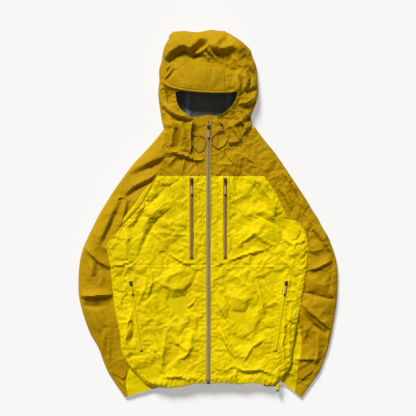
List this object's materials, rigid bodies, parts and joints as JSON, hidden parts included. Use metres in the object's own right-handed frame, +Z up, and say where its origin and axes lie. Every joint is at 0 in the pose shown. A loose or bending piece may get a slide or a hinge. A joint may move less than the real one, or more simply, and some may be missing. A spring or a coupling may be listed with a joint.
{
  "type": "hardshell jacket",
  "caption": "Hooded waterproof shell jacket laid flat, zips closed, with chest and hand pockets, cuff tabs, hood cord loops and a hem cord lock.",
  "frame": {"origin": "on the surface the jacket lies on, in the middle of its outline", "axes": "+X across the jacket to the wearer's left, +Y from hem to hood, +Z up out of the front"},
  "size_m": [0.716, 1.014, 0.0638],
  "materials": {
    "yellow_shell": "matte woven ripstop shell with a faint sheen",
    "mustard_shell": "matte woven shell, mustard",
    "dark_lining": "matte knitted backer with taped seams",
    "pocket_mesh": "thin matte tricot",
    "webbing": "narrow woven tape",
    "zip_tape": "laminated zip tape with a moulded coil",
    "zip_metal": "satin plated",
    "pull_grip": "matte moulded grip on a metal link",
    "cord": "braided elastic",
    "moulded_black": "matte moulded"
  },
  "bodies": {
    "torso": {"back_panel": "yellow_shell", "side_panel_left": "yellow_shell", "side_panel_right": "yellow_shell", "lower_front_left": "yellow_shell", "lower_front_right": "yellow_shell", "chest_panel_left": "yellow_shell", "chest_panel_right": "yellow_shell", "back_yoke": "mustard_shell", "front_yoke_left": "mustard_shell", "front_yoke_right": "mustard_shell", "shoulder_left": "mustard_shell", "shoulder_right": "mustard_shell", "neck_panel_left": "mustard_shell", "neck_panel_right": "mustard_shell", "collar_front_left": "mustard_shell", "collar_front_right": "mustard_shell", "storm_flap": "dark_lining", "chest_pocket_bags": "pocket_mesh", "hand_pocket_bags": "pocket_mesh", "hanger_loop": "webbing", "main_zip_tape_left": "zip_tape", "main_zip_tape_right": "zip_tape", "chest_zip_tape_left": "zip_tape", "chest_zip_tape_right": "zip_tape", "hand_zip_tape_left": "zip_tape", "hand_zip_tape_right": "zip_tape", "zip_stops": "zip_metal", "hem_cord": "cord", "hood_cord_left": "cord", "hood_cord_right": "cord", "cord_eyelets": "moulded_black", "hem_lock_body": "yellow_shell"},
    "hood": {"hood_back": "mustard_shell", "hood_crown": "mustard_shell", "hood_brim": "mustard_shell", "brim_stiffener": "moulded_black", "hood_lining": "dark_lining", "hood_cheek_left": "mustard_shell", "hood_cheek_right": "mustard_shell"},
    "sleeve_left": {"upper_sleeve_left": "mustard_shell", "under_sleeve_left": "yellow_shell", "cuff_left": "mustard_shell"},
    "sleeve_right": {"upper_sleeve_right": "mustard_shell", "under_sleeve_right": "yellow_shell", "cuff_right": "mustard_shell"},
    "main_slider": {"main_slider": "zip_metal"},
    "main_puller": {"main_puller": "pull_grip"},
    "hem_lock_button": {"hem_lock_button": "moulded_black"},
    "chest_slider_left": {"chest_slider_left": "zip_metal"},
    "chest_slider_right": {"chest_slider_right": "zip_metal"},
    "chest_puller_left": {"chest_puller_left": "pull_grip"},
    "chest_puller_right": {"chest_puller_right": "pull_grip"},
    "hand_slider_left": {"hand_slider_left": "zip_metal"},
    "hand_slider_right": {"hand_slider_right": "zip_metal"},
    "hand_puller_left": {"hand_puller_left": "pull_grip"},
    "hand_puller_right": {"hand_puller_right": "pull_grip"},
    "cuff_tab_left": {"cuff_tab_left": "mustard_shell"},
    "cuff_tab_right": {"cuff_tab_right": "mustard_shell"}
  },
  "joints": [
    {"name": "hood_swing", "type": "hinge", "parent": "torso", "child": "hood", "pos_m": [0, 0.251, 0.042], "axis": [1, 0, 0], "range_deg": [0, 90]},
    {"name": "main_zip_slide", "type": "slide", "parent": "torso", "child": "main_slider", "axis": [0, -1, 0], "range_m": [0, 0.69]},
    {"name": "main_pull_swing", "type": "hinge", "parent": "main_slider", "child": "main_puller", "pos_m": [0, 0.238, 0.0372], "axis": [-1, 0, 0], "range_deg": [0, 170]},
    {"name": "hem_button_push", "type": "slide", "parent": "torso", "child": "hem_lock_button", "axis": [0, 1, 0], "range_m": [0, 0.003], "stiffness_N_per_m": 400, "springref_m": -0.002},
    {"name": "sleeve_swing_left", "type": "hinge", "parent": "torso", "child": "sleeve_left", "pos_m": [-0.25, 0.03, 0.012], "axis": [0, 0, -1], "range_deg": [0, 40]},
    {"name": "chest_zip_slide_left", "type": "slide", "parent": "torso", "child": "chest_slider_left", "axis": [0, -1, 0], "range_m": [0, 0.2]},
    {"name": "chest_pull_swing_left", "type": "hinge", "parent": "chest_slider_left", "child": "chest_puller_left", "pos_m": [-0.046, 0.091, 0.0383], "axis": [-1, 0, 0], "range_deg": [0, 170]},
    {"name": "hand_zip_slide_left", "type": "slide", "parent": "torso", "child": "hand_slider_left", "axis": [0.1495, -0.9888, 0], "range_m": [0, 0.176]},
    {"name": "hand_pull_swing_left", "type": "hinge", "parent": "hand_slider_left", "child": "hand_puller_left", "pos_m": [-0.2125, -0.18989, 0.0383], "axis": [-0.9888, -0.1495, 0], "range_deg": [0, 170]},
    {"name": "cuff_tab_peel_left", "type": "hinge", "parent": "sleeve_left", "child": "cuff_tab_left", "pos_m": [-0.228, -0.446, 0.0165], "axis": [0.4226, 0.9063, 0], "range_deg": [0, 120]},
    {"name": "sleeve_swing_right", "type": "hinge", "parent": "torso", "child": "sleeve_right", "pos_m": [0.25, 0.03, 0.012], "axis": [0, 0, 1], "range_deg": [0, 40]},
    {"name": "chest_zip_slide_right", "type": "slide", "parent": "torso", "child": "chest_slider_right", "axis": [0, -1, 0], "range_m": [0, 0.2]},
    {"name": "chest_pull_swing_right", "type": "hinge", "parent": "chest_slider_right", "child": "chest_puller_right", "pos_m": [0.046, 0.091, 0.0383], "axis": [-1, 0, 0], "range_deg": [0, 170]},
    {"name": "hand_zip_slide_right", "type": "slide", "parent": "torso", "child": "hand_slider_right", "axis": [-0.1495, -0.9888, 0], "range_m": [0, 0.176]},
    {"name": "hand_pull_swing_right", "type": "hinge", "parent": "hand_slider_right", "child": "hand_puller_right", "pos_m": [0.2125, -0.18989, 0.0383], "axis": [-0.9888, 0.1495, 0], "range_deg": [0, 170]},
    {"name": "cuff_tab_peel_right", "type": "hinge", "parent": "sleeve_right", "child": "cuff_tab_right", "pos_m": [0.248, -0.448, 0.0165], "axis": [0.5299, -0.848, 0], "range_deg": [0, 120]}
  ]
}
